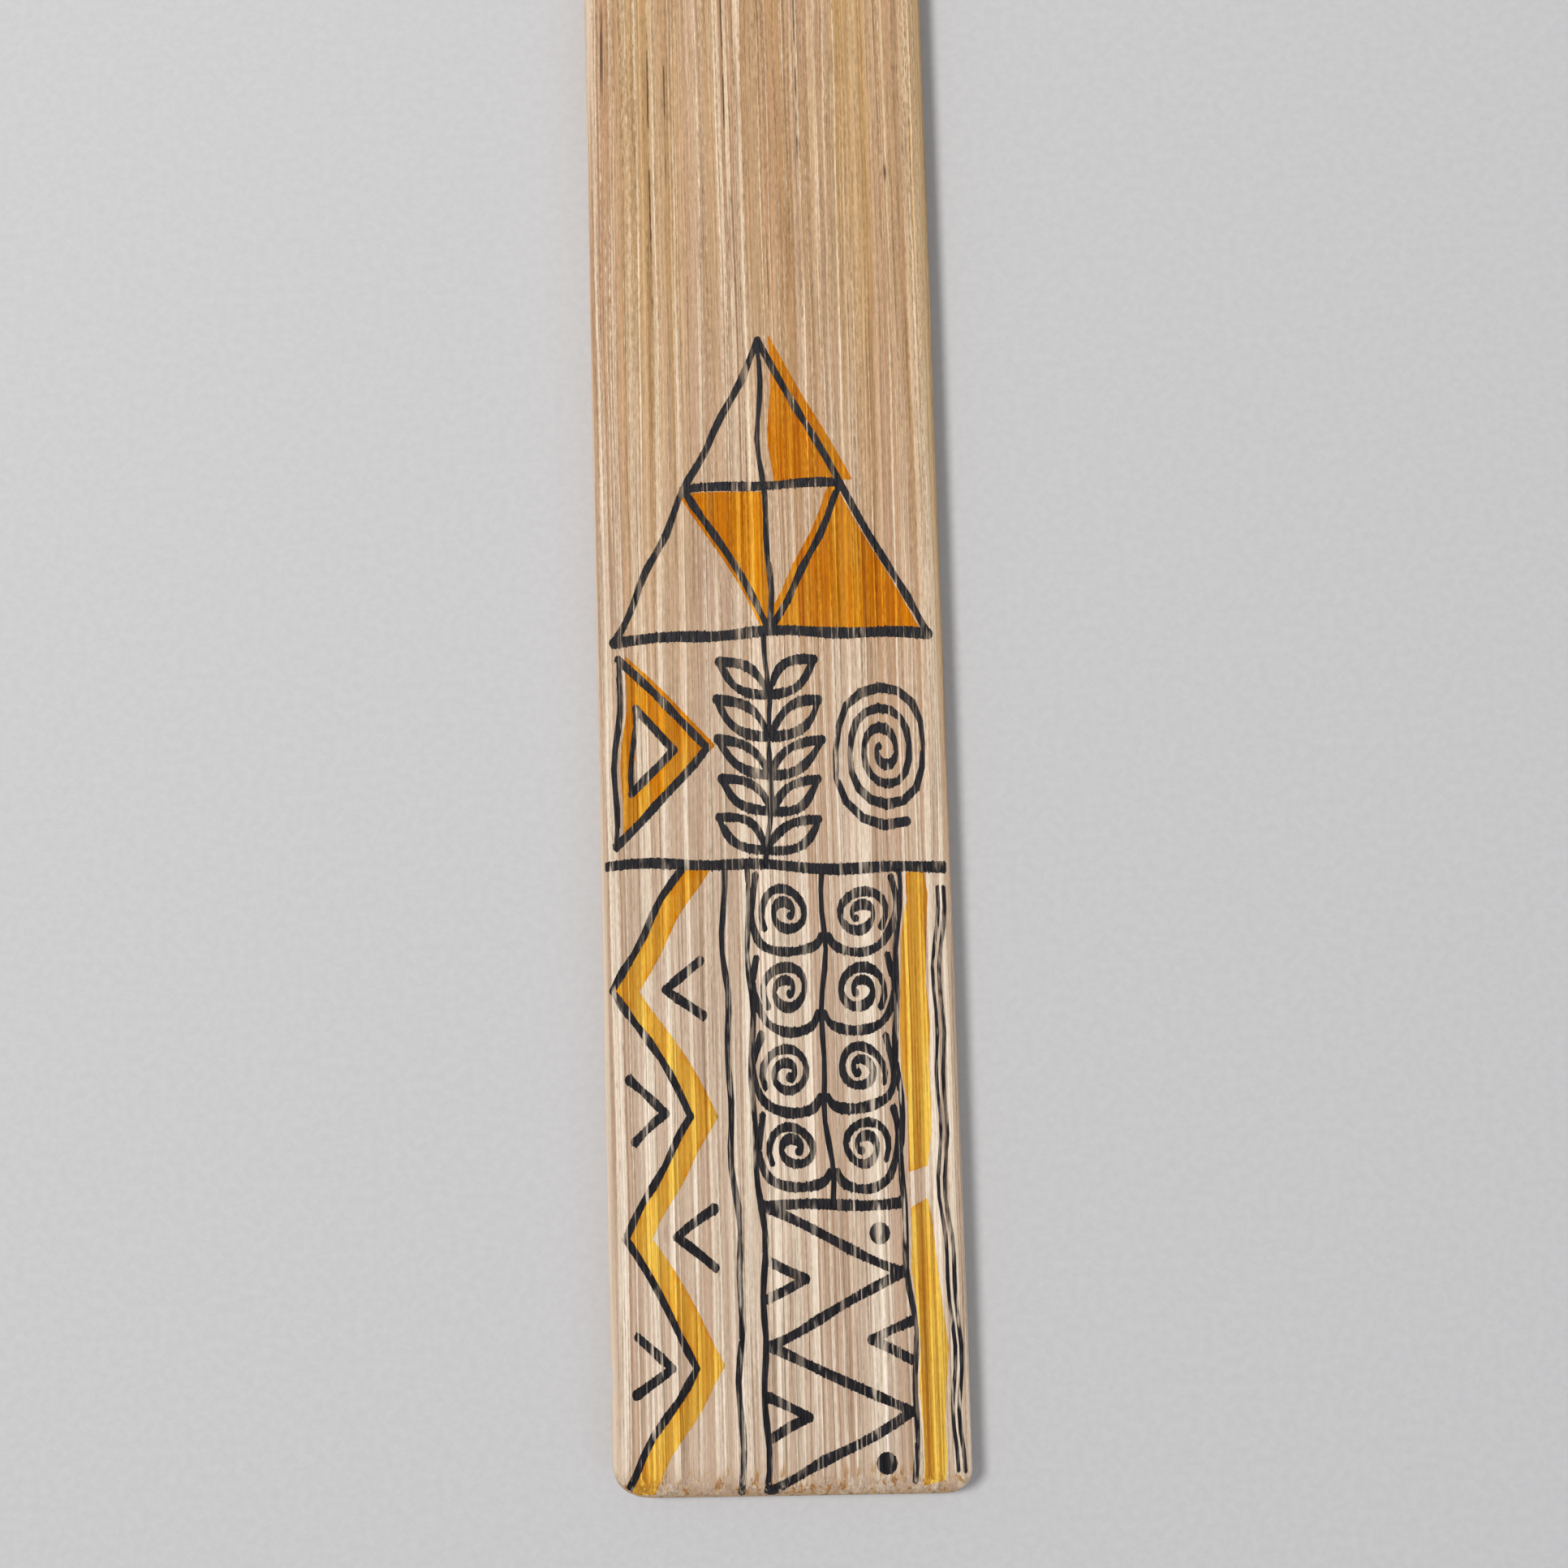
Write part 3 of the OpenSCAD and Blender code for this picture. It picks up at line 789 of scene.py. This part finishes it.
def bamboo_material(group):
    """Sanded bamboo, with singed specks at the square end, a painted highlight on its rim, a painted
    highlight along the left edge and a browner right one.
    """
    material, tree, shader, wood = new_material("bamboo", group, WOOD_GLOSS)
    mm = place_in_mm(tree)
    x, y, _ = parts(tree, mm)
    colour = blend(tree, times(tree, wood.outputs["Crack"], 0.85), wood.outputs["Colour"], DARK_BROWN)
    worn = rise(tree, y, *(END + inwards for inwards in WORN_FROM))
    colour = blend(tree, times(tree, worn, 0.45), colour, PINK_TAN)
    blotch = fibres(tree, mm, *SINGEING)
    singed = times(tree, worn, rise(tree, blotch, 0.50, 0.58))
    colour = blend(tree, times(tree, singed, 0.5), colour, SINGED)
    burnt = times(tree, worn, rise(tree, blotch, 0.56, 0.63))
    colour = blend(tree, times(tree, burnt, 0.85), colour, SCORCHED)
    # Painted highlight: a golden tan band along the very rim of the square end, where the light catches it
    rim = rise(tree, y, *(END + inwards for inwards in RIM_HIGHLIGHT_FROM))
    colour = blend(tree, times(tree, rim, 0.65), colour, RIM_HIGHLIGHT)
    across_grain = cut_across(tree)
    sawn = times(tree, rise(tree, across_grain, 0.1, 0.3), rise(tree, y, TAPER, TAPER + SAWN_LENGTH))
    colour = blend(tree, times(tree, sawn, 0.6), colour, SAWN_TAN)
    colour = blend(tree, times(tree, cut_bundles(tree, mm, across_grain), 0.7), colour, BUNDLE_BROWN)
    # Painted highlight: pale cream streaks along the left edge, the side that faces the key light
    streak = rise(tree, fibres(tree, mm, *EDGE_STREAKS), 0.35, 0.6)
    left_highlight = times(tree, rise(tree, x, *(inwards - HALF for inwards in LEFT_HIGHLIGHT_FROM)), streak)
    colour = blend(tree, times(tree, left_highlight, 0.6), colour, LOW_CREAM)
    right = rise(tree, x, *(HALF - inwards for inwards in RIGHT_FROM))
    colour = blend(tree, times(tree, right, rise(tree, y, *BROWN_ZONE, 0.1, 0.5)), colour, OLIVE_BROWN)
    feed(tree, shader, colour, wood.outputs["Roughness"], wood.outputs["Height"], WOOD_BUMP)
    return material


PEN_BLACK = (0.008, 0.007, 0.009)
PEN_GREY = (0.032, 0.029, 0.034)


def pen_material(group):
    """Dry pigment ink: charcoal black, with pale fibres that the pen skipped."""
    material, tree, shader, wood = new_material("black_pen", group, PEN_GLOSS)
    mm = place_in_mm(tree)
    wash = rise(tree, fibres(tree, mm, *PEN_WASH), 0.42, 0.66)
    ink = blend(tree, times(tree, wash, 0.7), PEN_BLACK, PEN_GREY)
    skipped = times(tree, wood.outputs["Pale"], rise(tree, fibres(tree, mm, *PEN_SKIPS), 0.45, 0.62))
    colour = blend(tree, times(tree, skipped, 0.75), ink, wood.outputs["Colour"])
    rough = maths(tree, "ADD", times(tree, wash, 0.15), 0.42)
    feed(tree, shader, colour, rough, wood.outputs["Height"], INK_BUMP)
    return material


# What the marker lets through where it lies thin and where it lies thick, and a fibre that it has rusted
MARKER_THIN = (1.1, 0.88, 0.19)
MARKER_THICK = (0.95, 0.42, 0.002)
RUST = (0.26, 0.06, 0.004)
# It lies thin up to the first y, and thick beyond the second
MARKER_ZONE = (-52.0, -12.0)


def marker_material(group):
    """Translucent dye: the bamboo shows through, bright on pale fibres and deep orange where it pooled."""
    material, tree, shader, wood = new_material("amber_marker", group, MARKER_GLOSS)
    mm = place_in_mm(tree)
    _, y, _ = parts(tree, mm)
    strokes = rise(tree, fibres(tree, mm, *MARKER_STROKES), 0.38, 0.66)
    streaks = rise(tree, fibres(tree, mm, *MARKER_STREAKS), 0.42, 0.62)
    pooled = put(tree, "ShaderNodeAttribute", {"attribute_name": "pooled"}).outputs["Fac"]
    pooled = times(tree, pooled, strokes)
    dense = weigh(tree, (strokes, 0.26), (streaks, 0.26), (wood.outputs["Pale"], -0.3), (pooled, 0.5))
    dense = maths(tree, "ADD", dense, rise(tree, y, *MARKER_ZONE, 0.14, 0.74), clamp=True)
    dye = blend(tree, dense, MARKER_THIN, MARKER_THICK)
    colour = blend(tree, 1.0, wood.outputs["Colour"], dye, "MULTIPLY")
    rusty = rise(tree, fibres(tree, mm, *RUSTY_FIBRES), 0.64, 0.70)
    rusty = maths(tree, "MAXIMUM", rusty, wood.outputs["Crack"])
    colour = blend(tree, times(tree, rusty, 0.6), colour, RUST)
    rough = maths(tree, "ADD", times(tree, streaks, 0.12), 0.36)
    feed(tree, shader, colour, rough, wood.outputs["Height"], INK_BUMP)
    return material


# The floor paper's darker and lighter parts
FLOOR_GREY = (0.575, 0.57, 0.575)
FLOOR_PALE = (0.61, 0.605, 0.61)


def floor_material():
    """Smooth pale paper."""
    material = bpy.data.materials.new("pale_paper")
    material.use_nodes = True
    tree = material.node_tree
    shader = tree.nodes["Principled BSDF"]
    mm = place_in_mm(tree)
    fleck = put(tree, "ShaderNodeTexNoise", Vector=mm, Scale=1.6, Detail=4.0, Roughness=0.6).outputs["Fac"]
    colour = blend(tree, rise(tree, fleck, 0.3, 0.7), FLOOR_GREY, FLOOR_PALE)
    rough = rise(tree, fleck, 0.2, 0.8, 0.8, 0.9)
    feed(tree, shader, colour, rough, fleck, 0.25, depth=0.1)
    return material


# ---- Floor and lights ----

# Half the side of the floor, in metres, and its faces along a side
FLOOR_HALF = 5
FLOOR_FACES = 4
# Name, place in metres, side in metres, power and colour: a high key light from the upper left, and a soft
# fill from the right
LIGHTS = (
    ("key", (-0.25, 0.14, 0.62), 0.16, 3.2, (1, 0.985, 0.96)),
    ("fill", (0.5, -0.3, 0.6), 0.6, 0.8, (0.95, 0.97, 1)),
)
SURROUND = (0.93, 0.95, 1, 1)
SURROUND_STRENGTH = 0.36


def add_floor(material):
    bm = bmesh.new()
    bmesh.ops.create_grid(bm, x_segments=FLOOR_FACES, y_segments=FLOOR_FACES, size=FLOOR_HALF)
    mesh = bpy.data.meshes.new("floor")
    bm.to_mesh(mesh)
    bm.free()
    mesh.materials.append(material)
    add_object("floor", mesh)


def add_area_light(name, position, size, power, colour):
    """A square light, aimed at the middle of the object."""
    data = bpy.data.lights.new(name, "AREA")
    data.size = size
    data.energy = power
    data.color = colour
    light = add_object(name, data)
    light.location = position
    light.rotation_euler = (-Vector(position)).to_track_quat("-Z", "Y").to_euler()


def add_lights():
    """The lights, and an even pale surround."""
    for light in LIGHTS:
        add_area_light(*light)
    world = bpy.data.worlds.new("studio")
    world.use_nodes = True
    background = world.node_tree.nodes["Background"]
    background.inputs["Color"].default_value = SURROUND
    background.inputs["Strength"].default_value = SURROUND_STRENGTH
    bpy.context.scene.world = world


bamboo = bamboo_group()
add_strip(bamboo_material(bamboo))
add_films("marker_", marker_material(bamboo), MARKER_HEIGHT, MARKER_REACH)
add_films("ink_", pen_material(bamboo), PEN_HEIGHT, PEN_REACH)
add_floor(floor_material())
add_lights()
bpy.context.scene.view_settings.view_transform = "Standard"
